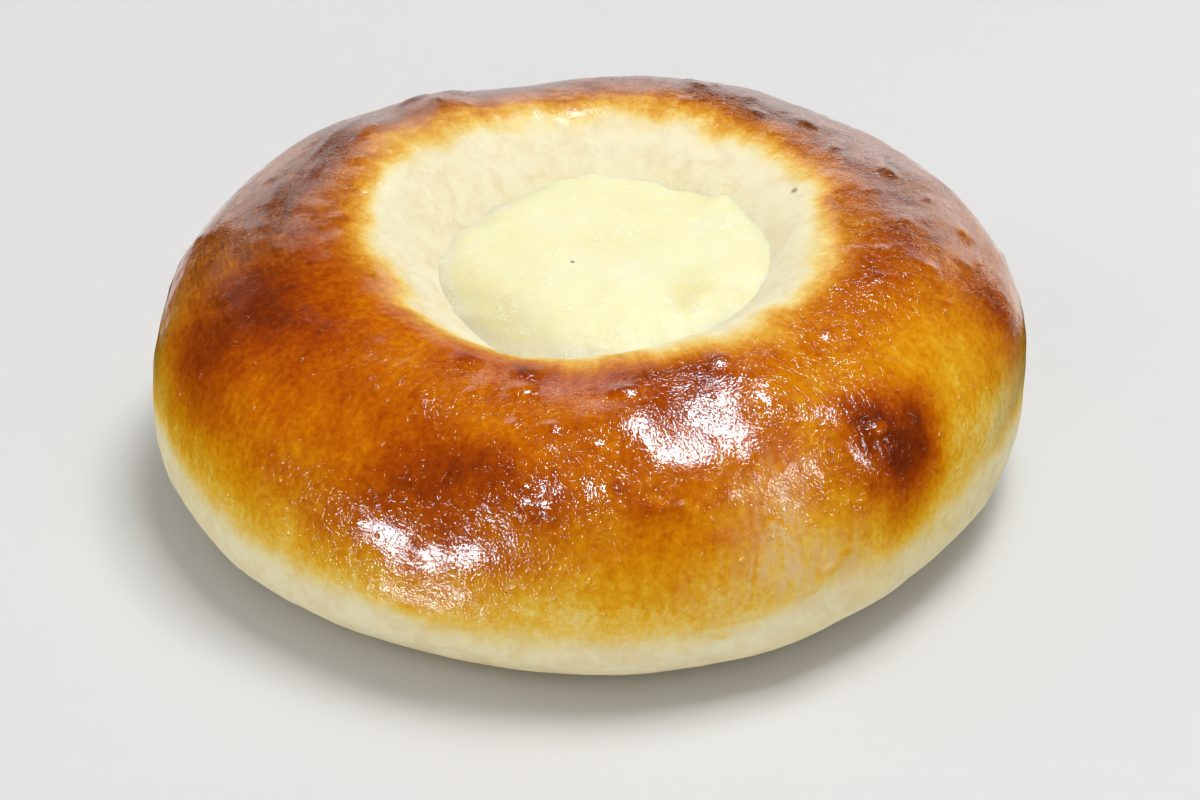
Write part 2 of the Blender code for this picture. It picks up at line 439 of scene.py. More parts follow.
def turn_between(azimuth, centre):
    return (azimuth - centre + 180) % 360 - 180


def keep_numbers(mesh, name, numbers):
    attribute = mesh.attributes.new(name, "FLOAT", "POINT")
    attribute.data.foreach_set("value", numbers.astype(np.float32))


def add(tree, kind, inputs=None, **settings):
    """A node with its settings, and its inputs by name or number: each a value, or the socket it reads."""
    made = tree.nodes.new(kind)
    for key, value in settings.items():
        setattr(made, key, value)
    for key, value in (inputs or {}).items():
        if isinstance(value, bpy.types.NodeSocket):
            tree.links.new(value, made.inputs[key])
        else:
            made.inputs[key].default_value = value
    return made


def math_node(tree, operation, first, second=0.0, third=0.0, clamp=False):
    inputs = {0: first, 1: second, 2: third}
    return add(tree, "ShaderNodeMath", inputs, operation=operation, use_clamp=clamp).outputs[0]


def vector_node(tree, operation, first, second=(0, 0, 0)):
    made = add(tree, "ShaderNodeVectorMath", {0: first, 1: second}, operation=operation)
    return made.outputs["Value" if operation in ("LENGTH", "DISTANCE") else "Vector"]


def slide(tree, share, at_none, at_full):
    """A number that goes from one value to the other as the share goes from 0 to 1."""
    return math_node(tree, "MULTIPLY_ADD", share, at_full - at_none, at_none)


def range_of(tree, value, start, end, at_start, at_end):
    """A number that goes from one value to the other as this value goes from start to end."""
    inputs = {"Value": value, "From Min": start, "From Max": end, "To Min": at_start, "To Max": at_end}
    return add(tree, "ShaderNodeMapRange", inputs).outputs["Result"]


def mixed(tree, share, first, second, **settings):
    """The first colour, turned into the second by this share. The second may be plain numbers."""
    if not isinstance(second, bpy.types.NodeSocket):
        second = (*second, 1)
    inputs = {"Factor": share, "A": first, "B": second}
    return add(tree, "ShaderNodeMix", inputs, data_type="RGBA", **settings).outputs["Result"]


def ramp_of(tree, value, colours):
    ramp = add(tree, "ShaderNodeValToRGB", {"Fac": value})
    stops = ramp.color_ramp.elements
    stops.remove(stops[1])
    for i, (place, colour) in enumerate(colours):
        stop = stops[0] if i == 0 else stops.new(place)
        stop.position = place
        stop.color = (*colour, 1)
    return ramp.outputs["Color"]


def noise_at(tree, where, per_metre, detail=2.0, roughness=0.5, distortion=0.0):
    inputs = {"Vector": where, "Scale": per_metre, "Detail": detail, "Roughness": roughness}
    inputs["Distortion"] = distortion
    return add(tree, "ShaderNodeTexNoise", inputs).outputs["Fac"]


def cells_at(tree, where, per_metre):
    """How far it is to the nearest of some scattered points, in their mean spacing."""
    inputs = {"Vector": where, "Scale": per_metre, "Randomness": 1.0}
    return add(tree, "ShaderNodeTexVoronoi", inputs).outputs["Distance"]


def centred(tree, noise_socket, reach):
    """A noise of 0 to 1, made to swing by reach each way about nothing."""
    return slide(tree, noise_socket, -reach, reach)


def numbers_of(tree, name):
    """The numbers of this name that the mesh carries, for a material."""
    return add(tree, "ShaderNodeAttribute", attribute_name=name).outputs["Fac"]


def new_material(name):
    """A new material, its tree and its shader's inputs."""
    material = bpy.data.materials.new(name)
    material.use_nodes = True
    return material, material.node_tree, material.node_tree.nodes["Principled BSDF"].inputs


def dress(piece, material):
    piece.data.materials.clear()
    piece.data.materials.append(material)


def shape_tree(name, numbers):
    """A Geometry Nodes tree with a mesh in, a mesh out and these named numbers."""
    tree = bpy.data.node_groups.new(name, "GeometryNodeTree")
    tree.interface.new_socket("Geometry", in_out="INPUT", socket_type="NodeSocketGeometry")
    for label, value in numbers:
        kind = "NodeSocketInt" if isinstance(value, int) else "NodeSocketFloat"
        tree.interface.new_socket(label, in_out="INPUT", socket_type=kind).default_value = value
    tree.interface.new_socket("Geometry", in_out="OUTPUT", socket_type="NodeSocketGeometry")
    return tree, add(tree, "NodeGroupInput").outputs, add(tree, "NodeGroupOutput")


def strewn(tree, given, name, power):
    """The mesh's numbers of this name, and points that lie thickest where they are full."""
    share = add(tree, "GeometryNodeInputNamedAttribute", {"Name": name}, data_type="FLOAT").outputs[0]
    inputs = {
        "Mesh": given["Geometry"],
        "Distance Min": given["Apart"],
        "Density Max": given["Per Square Metre"],
        "Density Factor": math_node(tree, "POWER", share, power),
        "Seed": given["Seed"],
    }
    made = add(tree, "GeometryNodeDistributePointsOnFaces", inputs, distribute_method="POISSON")
    return share, made.outputs


def drawn_between(tree, low, high, seed):
    """A number drawn at random for each point."""
    inputs = {2: low, 3: high, 8: seed}
    return add(tree, "FunctionNodeRandomValue", inputs, data_type="FLOAT").outputs[1]


def pushed_out(tree, geometry, rise):
    """The geometry with each of its points moved this far along its normal."""
    up = add(tree, "GeometryNodeInputNormal").outputs[0]
    offset = add(tree, "ShaderNodeVectorMath", {0: up, "Scale": rise}, operation="SCALE").outputs[0]
    return add(tree, "GeometryNodeSetPosition", {"Geometry": geometry, "Offset": offset}).outputs[0]


def end_tree(tree, geometry, material, result):
    """Makes a tree's instances real, sets their material and hands them out."""
    real = add(tree, "GeometryNodeRealizeInstances", {"Geometry": geometry})
    dressed = add(tree, "GeometryNodeSetMaterial", {"Geometry": real.outputs[0], "Material": material})
    tree.links.new(dressed.outputs[0], result.inputs[0])


def grow(piece, tree, numbers):
    """Runs a tree on a piece with these numbers, by the sockets' identifiers, and keeps its result."""
    modifier = piece.modifiers.new(tree.name, "NODES")
    modifier.node_group = tree
    sockets = {s.name: s.identifier for s in tree.interface.items_tree if s.in_out == "INPUT"}
    for label, value in numbers:
        modifier[sockets[label]] = value
    settle(piece)


bun = fine_copy("bun", "baked_bun", levels=2)
mesh = bun.data
places = places_of(mesh)
azimuth, tilt = round_the_roll(places)


def nearest_to(centre, level):
    """The point of the crust that lies nearest this azimuth and tilt."""
    return places[np.argmin(np.hypot(turn_between(azimuth, centre), tilt - level))]


relief = np.zeros(len(places))
for centre, level, height, spread in CRUST_FORMS:
    apart = np.linalg.norm(places - nearest_to(centre, level), axis=1)
    relief += height * np.exp(-(apart**2) / (2 * spread**2))
relief += layers(places, SKIN_RELIEF)
welted = np.zeros(len(places))
for centre, level, long, wide, height, browned in WELTS:
    turn = math.radians(centre)
    offset = (places - nearest_to(centre, level)) / MM
    round_way = offset @ (-math.sin(turn), math.cos(turn), 0)
    up_way = np.sqrt(np.maximum((offset**2).sum(1) - round_way**2, 0))
    dome = np.clip(1 - (round_way / long) ** 2 - (up_way / wide) ** 2, 0, 1) ** WELT_ROUNDNESS
    relief += height * MM * dome
    welted += browned * dome
relief += layers(places, LIP_RELIEF) * smooth_step(*ON_LIP, tilt)
relief *= smooth_step(*ABOVE_FOOT, places[:, 2]) * (1 - smooth_step(*INTO_WELL, tilt))
places += normals_of(mesh) * relief[:, None]
move_to(mesh, places)

# The glass left the well pale, and its edge is feathered where the brush met the pressed dough
across = np.hypot(places[:, 0], places[:, 1])[:, None]
spokes = np.column_stack([places[:, :2] / np.maximum(across, MM), places[:, 2] / (60 * MM)])
feather = layers(spokes, WELL_FIBRES) + layers(places, WELL_TUFTS)
past_well_edge = tilt - (all_round(azimuth, WELL_EDGE) + feather)
past_foot_edge = tilt - layers(places, FOOT_WANDER, all_round(azimuth, FOOT_EDGE))

ragged_turn = layers(places, RAGGED_TURN)
ragged_tilt = layers(places, RAGGED_TILT)


def patches(marks, ragged=1.0):
    """The sum of some soft patches, with edges that wander by this share of the ragged noise."""
    total = np.zeros(len(azimuth))
    for centre, level, wide, high, amount in marks:
        turned = turn_between(azimuth, centre) + ragged * ragged_turn
        tilted = tilt - level + ragged * ragged_tilt
        total += amount * np.exp(-((turned / wide) ** 2 + (tilted / high) ** 2) / PATCH_SOFTNESS)
    return total


bake = sum(share * smooth_step(low, high, past_foot_edge) for share, low, high in BROWNING_BEGINS)
bake += 0.06 * smooth_step(40, 75, tilt) + layers(places, BROWNING_CLOUDS)
bake -= COOL_SWING * np.cos(np.radians(azimuth - COOL_AZIMUTH)) * smooth_step(10, 30, tilt)
bake += patches(BROWNING) + welted
bake *= 1 - smooth_step(*BROWNING_ENDS, past_well_edge)
# Brush marks, and the painted shadow line in the crease along the cheese's back edge
bake += patches(WELL_STAINS_AND_CREASE_SHADOW, 0.3)
# The sole took its own colour from the tray
sole = smooth_step(1.6 * MM, 0.2 * MM, places[:, 2])
bake = np.maximum(bake, sole * layers(places, SOLE_CLOUDS, SOLE_BROWNING))

glaze = smooth_step(*GLAZE_BEGINS, past_foot_edge) * (1 - smooth_step(*GLAZE_ENDS, past_well_edge))
# The welts low on the bun caught a little egg
glaze = np.maximum(glaze, 20 * np.clip(welted, 0, 0.04) * smooth_step(20, 12, tilt))
rubbed = np.clip(patches(RUBBED), 0, 1)
glaze *= 1 - 0.6 * rubbed
# The near lip got little egg, because the brush slid over it
backward = np.sin(np.radians(azimuth))
near_side = smooth_step(-0.35, -0.80, backward)
glaze *= 1 - 0.65 * near_side * smooth_step(76, 94, tilt)
beads = smooth_step(-0.2, 0.5, grain(places, 1.4 * MM, 27.0))
glaze = np.maximum(glaze, patches(SPILT_EGG, 1.5) * beads)
skin_numbers = {
    "rubbed": rubbed,
    "soaked": patches(SOAKED),
    "shaded_shoulder": patches(SHADED_SHOULDER),
    "bake": bake,
    "glaze": glaze,
    "crinkle": CRINKLE_EVERYWHERE + patches(CRINKLES),
    # The last strokes of the brush, along the near side, left the most froth
    "froth": np.clip(glaze, 0, 1) * smooth_step(0.0, -0.45, backward),
    "well": smooth_step(*CREAM_BEGINS, past_well_edge),
    "brink": smooth_step(*BRINK_BEGINS, past_well_edge),
}
for name, numbers in skin_numbers.items():
    keep_numbers(mesh, name, np.clip(numbers, 0, 1))

crust, tree, shader = new_material("baked_dough")
where = add(tree, "ShaderNodeTexCoord").outputs["Object"]
baked = numbers_of(tree, "bake")
glazed = numbers_of(tree, "glaze")
pressed = numbers_of(tree, "well")
shaded_shoulder = numbers_of(tree, "shaded_shoulder")

# Mottling of the skin, dark freckles, and the blisters' thin tops, all finer than the mesh
cloud = centred(tree, noise_at(tree, where, *CLOUDS), CLOUD_REACH)
mottle = centred(tree, noise_at(tree, where, *MOTTLES), MOTTLE_REACH)
freckle = range_of(tree, cells_at(tree, where, FRECKLES_PER_METRE), 0.08, 0.26, 0.05, 0.0)
detail = math_node(tree, "ADD", math_node(tree, "ADD", cloud, mottle), freckle)
detail = math_node(tree, "MULTIPLY_ADD", numbers_of(tree, "blister"), BLISTER_TOP, detail)
# Streaks run up the roll and into the well, where the rising dough was drawn out
flat = vector_node(tree, "MULTIPLY", where, (1, 1, 0))
height = add(tree, "ShaderNodeSeparateXYZ", {0: where}).outputs["Z"]
along = math_node(tree, "SUBTRACT", height, vector_node(tree, "LENGTH", flat))
along = math_node(tree, "MULTIPLY", along, 5.0)
rise = add(tree, "ShaderNodeCombineXYZ", {"Z": along}).outputs[0]
spoke_way = vector_node(tree, "ADD", vector_node(tree, "NORMALIZE", flat), rise)
streak = centred(tree, noise_at(tree, spoke_way, *STREAKS), 1.0)
# The far shoulder is flecked with short dark dashes that run round the bun
ring_way = vector_node(tree, "MULTIPLY", spoke_way, (0.35, 0.35, 6.0))
dashes = centred(tree, noise_at(tree, ring_way, *DASHES), DASH_REACH)
flecks = centred(tree, noise_at(tree, where, *FLECKS), FLECK_REACH)
detail = math_node(tree, "MULTIPLY_ADD", math_node(tree, "ADD", dashes, flecks), shaded_shoulder, detail)
shown = math_node(tree, "MULTIPLY", detail, slide(tree, glazed, 0.15, 1.0))
# The streaks are strongest at the feathered edge of the browning
edge = math_node(tree, "MULTIPLY", baked, slide(tree, glazed, 4.0, 0.0), clamp=True)
for swing, share, strength in (
    (streak, edge, STREAK_AT_EDGE),
    (mottle, edge, MOTTLE_AT_EDGE),
    (streak, glazed, STREAK_ON_GLAZE),
):
    shown = math_node(tree, "MULTIPLY_ADD", swing, math_node(tree, "MULTIPLY", share, strength), shown)
shown = math_node(tree, "ADD", baked, shown, clamp=True)

ambers, shaded_shoulder_browns, golds = (
    ramp_of(tree, shown, colours) for colours in (BAKING_COLOURS, SHADED_SHOULDER_COLOURS, WELL_EDGE_COLOURS)
)
# Painted shade: the far shoulder takes the darker, duller browns
colour = mixed(tree, shaded_shoulder, ambers, shaded_shoulder_browns)
colour = mixed(tree, numbers_of(tree, "brink"), colour, golds)
bare = math_node(tree, "MULTIPLY_ADD", shown, -3.0, 1.0, clamp=True)
colour = mixed(tree, math_node(tree, "MULTIPLY", bare, pressed), colour, WELL_CREAM)
# Bare dough is clouded, paler where it puffed, and painted shade tans it in the hollows of its puffy relief
puff = noise_at(tree, where, *PUFFS)
hollow_shade = range_of(tree, puff, 0.56, 0.36, 0.0, 0.9)
hollow_shade = math_node(tree, "MULTIPLY", hollow_shade, math_node(tree, "SUBTRACT", 1.0, glazed))
colour = mixed(tree, hollow_shade, colour, HOLLOW_SHADE_TINT, blend_type="MULTIPLY")
# Rubbed skin shows through in tan streaks
strands = range_of(tree, noise_at(tree, spoke_way, *STRANDS), 0.38, 0.62, 0.05, 1.6)
tanned = math_node(tree, "MULTIPLY", numbers_of(tree, "rubbed"), strands, clamp=True)
colour = mixed(tree, tanned, colour, RUBBED_TAN)
# Painted shade: the pit is only painted dark, the mesh has no hole there
away = vector_node(tree, "DISTANCE", where, PIT)
in_pit = range_of(tree, away, 0.5 * PIT_RADIUS, 1.4 * PIT_RADIUS, 0.8, 0.0)
colour = mixed(tree, in_pit, colour, PIT_SHADE_BROWN)
tree.links.new(colour, shader["Base Color"])

# The brushed egg dried to a glassy skin, crinkled in places, and bare dough is dull and puffy
fibre = noise_at(tree, spoke_way, *FIBRES)
fibre = math_node(tree, "MULTIPLY_ADD", fibre, 1.2, noise_at(tree, where, *FINE_PUFFS))
fibre = math_node(tree, "MULTIPLY_ADD", puff, 3.2, fibre)
goose = noise_at(tree, where, *GOOSE_FLESH)
lumps = noise_at(tree, where, *LUMPS)
skin = math_node(tree, "MULTIPLY_ADD", lumps, 1.2, math_node(tree, "MULTIPLY", goose, 0.7))
# Pinholes and short wandering creases pit the dried glaze
pinholes = range_of(tree, cells_at(tree, where, PINHOLES_PER_METRE), 0.0, 0.32, -0.45, 0.0)
creases = math_node(tree, "SUBTRACT", noise_at(tree, where, *CREASES), 0.5)
creases = range_of(tree, math_node(tree, "ABSOLUTE", creases), 0.0, 0.022, -0.32, 0.0)
skin = math_node(tree, "ADD", skin, math_node(tree, "ADD", pinholes, creases))
skin = math_node(tree, "MULTIPLY", skin, numbers_of(tree, "crinkle"))
# On the far shoulder the skin is finely roughened all over
skin = math_node(tree, "MULTIPLY_ADD", math_node(tree, "MULTIPLY", goose, 0.12), shaded_shoulder, skin)
height = add(tree, "ShaderNodeMix", {"Factor": pressed, "A": skin, "B": fibre}).outputs[0]
bump = add(tree, "ShaderNodeBump", {"Height": height, "Strength": 1.0, "Distance": SKIN_DEPTH})
tree.links.new(bump.outputs["Normal"], shader["Normal"])
tree.links.new(bump.outputs["Normal"], shader["Coat Normal"])
tree.links.new(slide(tree, glazed, BARE_ROUGHNESS, GLAZED_ROUGHNESS), shader["Roughness"])
shine = slide(tree, numbers_of(tree, "soaked"), EGG_SHINE, 0.0)
tree.links.new(math_node(tree, "MULTIPLY", glazed, shine), shader["Coat Weight"])
shader["Coat Roughness"].default_value = 0.04
shader["Specular IOR Level"].default_value = 0.0
shader["Subsurface Weight"].default_value = 0.15
shader["Subsurface Radius"].default_value = (1.0, 0.5, 0.25)
shader["Subsurface Scale"].default_value = 1.6 * MM

# Gas under the skin raised low round blisters, wherever the crust is glazed
blister_numbers = (
    ("Per Square Metre", 9000.0),
    ("Apart", 4.2 * MM),
    ("Smallest", BLISTER_RADII[0]),
    ("Largest", BLISTER_RADII[1]),
    ("Rise", BLISTER_RISE),
    ("Seed", 7),
)
tree, given, result = shape_tree("crust_blisters", blister_numbers)
on_crust, scattered = strewn(tree, given, "glaze", 2.0)
points = scattered["Points"]
here = add(tree, "GeometryNodeInputPosition").outputs[0]
inputs = {"Geometry": points, "Sample Position": here}
nearest = add(tree, "GeometryNodeSampleNearest", inputs, domain="POINT").outputs["Index"]
inputs = {"Geometry": points, "Value": here, "Index": nearest}
centre = add(tree, "GeometryNodeSampleIndex", inputs, data_type="FLOAT_VECTOR").outputs["Value"]
inputs["Value"] = drawn_between(tree, given["Smallest"], given["Largest"], given["Seed"])
radius = add(tree, "GeometryNodeSampleIndex", inputs, data_type="FLOAT").outputs["Value"]
share = math_node(tree, "DIVIDE", vector_node(tree, "DISTANCE", here, centre), radius, clamp=True)
dome = math_node(tree, "SUBTRACT", 1.0, math_node(tree, "MULTIPLY", share, share))
dome = math_node(tree, "POWER", dome, BLISTER_ROUNDNESS)
rise = math_node(tree, "MULTIPLY", dome, math_node(tree, "MULTIPLY", radius, given["Rise"]))
rise = math_node(tree, "MULTIPLY", rise, on_crust)
inputs = {"Geometry": pushed_out(tree, given["Geometry"], rise), "Name": "blister", "Value": dome}
marked = add(tree, "GeometryNodeStoreNamedAttribute", inputs, data_type="FLOAT", domain="POINT")
end_tree(tree, marked.outputs[0], crust, result)
grow(bun, tree, blister_numbers)
dress(bun, crust)
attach(bun, "root")
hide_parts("bun")


# Bubbles in the egg glaze: beads of the froth that the brush left, dried hard on the crust.
# Each is a flattened half-sunk bead that takes the colour of the crust it sits on.
BUBBLE_RADII = (0.2 * MM, 0.55 * MM)
# The higher this is, the fewer of them are large
BUBBLE_RARITY = 2.5

bubble_numbers = (
    ("Per Square Metre", 60000.0),
    ("Apart", 3.0 * MM),
    ("Smallest", BUBBLE_RADII[0]),
    ("Largest", BUBBLE_RADII[1]),
    ("Flatness", 0.40),
    ("Seed", 23),
)
tree, given, result = shape_tree("glaze_bubbles", bubble_numbers)
_, scattered = strewn(tree, given, "froth", 3.0)
drawn = drawn_between(tree, 0.0, 1.0, given["Seed"])
rare = math_node(tree, "POWER", drawn, BUBBLE_RARITY)
span = math_node(tree, "SUBTRACT", given["Largest"], given["Smallest"])
wide = math_node(tree, "MULTIPLY_ADD", rare, span, given["Smallest"])
tall = math_node(tree, "MULTIPLY", wide, given["Flatness"])
size = add(tree, "ShaderNodeCombineXYZ", {"X": wide, "Y": wide, "Z": tall}).outputs[0]
bead = add(tree, "GeometryNodeMeshIcoSphere", {"Radius": 1.0, "Subdivisions": 2}).outputs["Mesh"]
inputs = {"Points": scattered["Points"], "Instance": bead, "Rotation": scattered["Rotation"], "Scale": size}
placed = add(tree, "GeometryNodeInstanceOnPoints", inputs)
end_tree(tree, placed.outputs[0], crust, result)
bubbles = bpy.data.objects.new("glaze_bubbles", bun.data.copy())
bpy.context.scene.collection.objects.link(bubbles)
grow(bubbles, tree, bubble_numbers)
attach(bubbles, "root")


# The curd cheese: smooth curd beaten with egg and sugar, spooned into the well and baked in it.
# It set to a moist pale paste with soft lumps, a fold, and a fine grain, and it barely browned.
CHEESE_COLOURS = ((0.30, (0.77, 0.71, 0.39)), (0.45, (0.77, 0.73, 0.43)), (0.70, (0.78, 0.76, 0.50)))
DENT_SHADE_YELLOW = (0.76, 0.68, 0.34)
GRANULE_AND_GLINT_WHITE = (0.84, 0.83, 0.64)
SPECK_BROWN = (0.12, 0.07, 0.03)
SPECK = (-3.2 * MM, -3.1 * MM, 36.4 * MM)
CURD_MIDDLE = (2.1 * MM, 0.7 * MM, 0)
CURD_RADIUS = 23 * MM
# How far the rim ran out over the dough: azimuth about the cheese's middle, mm
CURD_RIM = (
    (-168, 1.6),
    (-150, 0.0),
    (-135, 0.0),
    (-115, 1.6),
    (-95, 2.4),
    (-75, 2.0),
    (-55, 0.8),
    (-35, 0.6),
    (-15, 2.0),
    (5, 2.6),
    (22, 3.4),
    (35, 3.2),
    (46, 4.0),
    (58, 1.4),
    (66, 1.6),
    (80, 3.4),
    (95, 3.4),
    (115, 2.0),
    (130, 0.6),
    (148, 0.0),
    (165, 1.4),
    (178, 2.6),
)
# Where its yellow ends and only a thin film of it lies on the dough: azimuth, mm from the middle
CURD_EDGE = (
    (-171, 22.6),
    (-149, 21.1),
    (-129, 22.2),
    (-110, 22.4),
    (-85, 22.0),
    (-60, 21.1),
    (-41, 21.6),
    (-20, 23.2),
    (5, 25.0),
    (40, 27.0),
    (95, 27.0),
    (115, 24.5),
    (137, 21.0),
    (162, 21.4),
)
# How both wander: amount, size, place in the noise
RIM_WANDER = ((0.8 * MM, 3.5 * MM, 2.0),)
EDGE_WANDER = ((0.8 * MM, 2.2 * MM, 3.0),)
# The rim lies this much lower, and lower still by this share of what it lacks of a full run
RIM_DROP = 0.5 * MM
DROP_SHARE = 0.4
FULL_RUN = 2.4 * MM
# Spoon marks and lumps on top: x, y, height, spread, all in mm. The first six make the fold
CURD_FORMS = (
    (12.2, -4.2, -0.45, 1.0),
    (12.2, -7.0, -0.80, 1.0),
    (12.3, -9.8, -1.10, 1.2),
    (12.3, -12.4, -0.70, 1.0),
    (14.0, -8.6, -0.70, 1.2),
    (15.6, -8.4, -0.35, 1.0),
    (9.4, -9.0, 0.60, 2.4),
    (17.5, -8.5, 0.45, 3.2),
    (0.2, 3.0, -0.45, 2.2),
    (6.9, 5.6, -0.45, 2.4),
    (-14.6, -5.8, -0.40, 2.6),
    (-12.9, -13.8, -0.45, 2.2),
    (-8.2, 0.9, 0.45, 3.0),
    (4.5, -12.0, 0.40, 3.4),
    (15.0, 8.0, 0.50, 3.2),
    (-3.0, 15.0, 0.45, 3.4),
)
# Noises of the curd: features per metre, detail, roughness
CURD_BLOTCHES = (150, 4, 0.6)
GRANULE_GROUPS = (210, 2, 0.5)
GRANULES = (1500, 2, 0.6)
CURD_GRAINS = (1100, 3, 0.6)
CURD_PASTE = (380, 3, 0.5)
CURD_WETNESS = (300, 2, 0.5)
CURD_DEPTH = 0.09 * MM

cheese = fine_copy("cheese_filling", "curd_cheese", levels=2)
# The curd was spooned in wet, so its rim ran out unevenly and thin until it lay on the dough
places, normals = places_of(cheese.data), normals_of(cheese.data)
from_middle = (places - CURD_MIDDLE) * (1, 1, 0)
outward = np.linalg.norm(from_middle, axis=1) / CURD_RADIUS
at_rim = smooth_step(0.70, 1.0, outward)
round_middle = np.degrees(np.arctan2(from_middle[:, 1], from_middle[:, 0]))
run_out = all_round(round_middle, CURD_RIM) * MM
reach = at_rim * layers(places, RIM_WANDER, run_out)
places += from_middle / np.maximum(outward, 0.1)[:, None] / CURD_RADIUS * reach[:, None]
# Where it hardly ran, it lies lower, so that it still meets the dough
places[:, 2] -= at_rim * (RIM_DROP + DROP_SHARE * (FULL_RUN - run_out))
from_middle = (places - CURD_MIDDLE) * (1, 1, 0)
away = np.linalg.norm(from_middle, axis=1)
past_edge = layers(places, EDGE_WANDER, away - all_round(round_middle, CURD_EDGE) * MM)
on_top = smooth_step(0.2, 0.8, normals[:, 2])
far_side = smooth_step(-0.2, 0.5, from_middle[:, 1] / np.maximum(away, MM))
swell = (0.25 + 0.5 * far_side) * MM * grain(places, 3.8 * MM, 6.0)
swell *= smooth_step(0.70, 0.90, outward)
swell *= on_top
dented = np.zeros(len(places))
for x, y, height, spread in CURD_FORMS:
    apart = np.hypot(places[:, 0] / MM - x, places[:, 1] / MM - y)
    form = height * np.exp(-(apart**2) / (2 * spread**2))
    swell += form * MM * on_top
    dented += np.maximum(-form, 0)
places += normals * swell[:, None]
move_to(cheese.data, places)
keep_numbers(cheese.data, "dent", np.clip(dented, 0, 1))
keep_numbers(cheese.data, "rim", smooth_step(-0.5 * MM, 0.6 * MM, past_edge))

curd, tree, shader = new_material("curd_cheese")
where = add(tree, "ShaderNodeTexCoord").outputs["Object"]
colour = ramp_of(tree, noise_at(tree, where, *CURD_BLOTCHES), CHEESE_COLOURS)
# Painted shade: the curd is tinted a darker yellow in its dents, the deeper the darker
colour = mixed(tree, numbers_of(tree, "dent"), colour, DENT_SHADE_YELLOW)
# At its rim the curd is thin, and the dough's cream shows through it
colour = mixed(tree, math_node(tree, "MULTIPLY", numbers_of(tree, "rim"), 0.92), colour, WELL_CREAM)
# Curd granules lie in groups just under the skin, painted whiter, which partly stands in for painted glints
# on them
grouped = range_of(tree, noise_at(tree, where, *GRANULE_GROUPS), 0.50, 0.62, 0.0, 1.0)
granules_and_glints = range_of(tree, noise_at(tree, where, *GRANULES), 0.50, 0.68, 0.0, 0.9)
colour = mixed(tree, math_node(tree, "MULTIPLY", granules_and_glints, grouped), colour, GRANULE_AND_GLINT_WHITE)
away = vector_node(tree, "DISTANCE", where, SPECK)
colour = mixed(tree, range_of(tree, away, 0.25 * MM, 0.4 * MM, 0.85, 0.0), colour, SPECK_BROWN)
tree.links.new(colour, shader["Base Color"])
grains = noise_at(tree, where, *CURD_GRAINS)
height = math_node(tree, "MULTIPLY_ADD", noise_at(tree, where, *CURD_PASTE), 2.0, grains)
height = math_node(tree, "MULTIPLY_ADD", granules_and_glints, math_node(tree, "MULTIPLY", grouped, 0.8), height)
bump = add(tree, "ShaderNodeBump", {"Height": height, "Strength": 1.0, "Distance": CURD_DEPTH})
tree.links.new(bump.outputs["Normal"], shader["Normal"])
wet = slide(tree, noise_at(tree, where, *CURD_WETNESS), 0.32, 0.62)
tree.links.new(wet, shader["Roughness"])
shader["Specular IOR Level"].default_value = 0.25
shader["Subsurface Weight"].default_value = 0.5
shader["Subsurface Radius"].default_value = (1.0, 0.75, 0.4)
shader["Subsurface Scale"].default_value = 2.5 * MM

curd_numbers = (
    ("Lump Size", 4.0 * MM),
    ("Lump Height", 0.45 * MM),
    ("Grain Size", 1.3 * MM),
    ("Grain Height", 0.20 * MM),
)
tree, given, result = shape_tree("curd_lumps", curd_numbers)
here = add(tree, "GeometryNodeInputPosition").outputs[0]
up = add(tree, "GeometryNodeInputNormal").outputs[0]
rises = []
for size, height in (("Lump Size", "Lump Height"), ("Grain Size", "Grain Height")):
    per_metre = math_node(tree, "DIVIDE", 1.0, given[size])
    swing = noise_at(tree, here, per_metre, detail=1.0)
    rises.append(math_node(tree, "MULTIPLY", math_node(tree, "SUBTRACT", swing, 0.5), given[height]))
facing_up = add(tree, "ShaderNodeSeparateXYZ", {0: up}).outputs["Z"]
facing_up = math_node(tree, "MAXIMUM", facing_up, 0.0)
total = math_node(tree, "MULTIPLY", math_node(tree, "ADD", *rises), facing_up)
end_tree(tree, pushed_out(tree, given["Geometry"], total), curd, result)
grow(cheese, tree, curd_numbers)
dress(cheese, curd)
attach(cheese, "root")
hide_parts("cheese_filling")


# A plain pale ground for the renders alone. It is no part of the bun, it lies a hair below the
# foot, and the glaze doesn't mirror it.
FLOOR_GREY = 0.66
bpy.ops.mesh.primitive_plane_add(size=6, location=(0, 0, -0.05 * MM))
floor = bpy.context.active_object
floor.name = "pale_floor"
paint, tree, shader = new_material("pale_floor")
shader["Base Color"].default_value = (FLOOR_GREY, FLOOR_GREY, FLOOR_GREY, 1)
shader["Roughness"].default_value = 1.0
shader["Specular IOR Level"].default_value = 0.0
dress(floor, paint)
floor.visible_glossy = False


# The light: an even sky and four soft boxes light the bun without showing in its glaze, and ten
# boxes show in the glaze alone, for its broken shine in front and its even sheen behind.
SKY_STRENGTH = 0.40
LIT_MIDDLE = Vector((0, 0, 25 * MM))
WHITE, COOL = (1, 1, 1), (0.80, 0.94, 1.0)
# Azimuth, elevation, distance, width and height in metres, watts
LIGHTING_BOXES = (
    ("key_light", 30, 76, 0.9, 0.40, 0.40, 6.4),
    ("front_light", -108, 9, 1.0, 0.60, 0.30, 2.6),
    ("left_light", -172, 22, 1.0, 0.50, 0.40, 1.3),
    ("right_light", -46, 12, 1.0, 0.40, 0.30, 0.9),
)
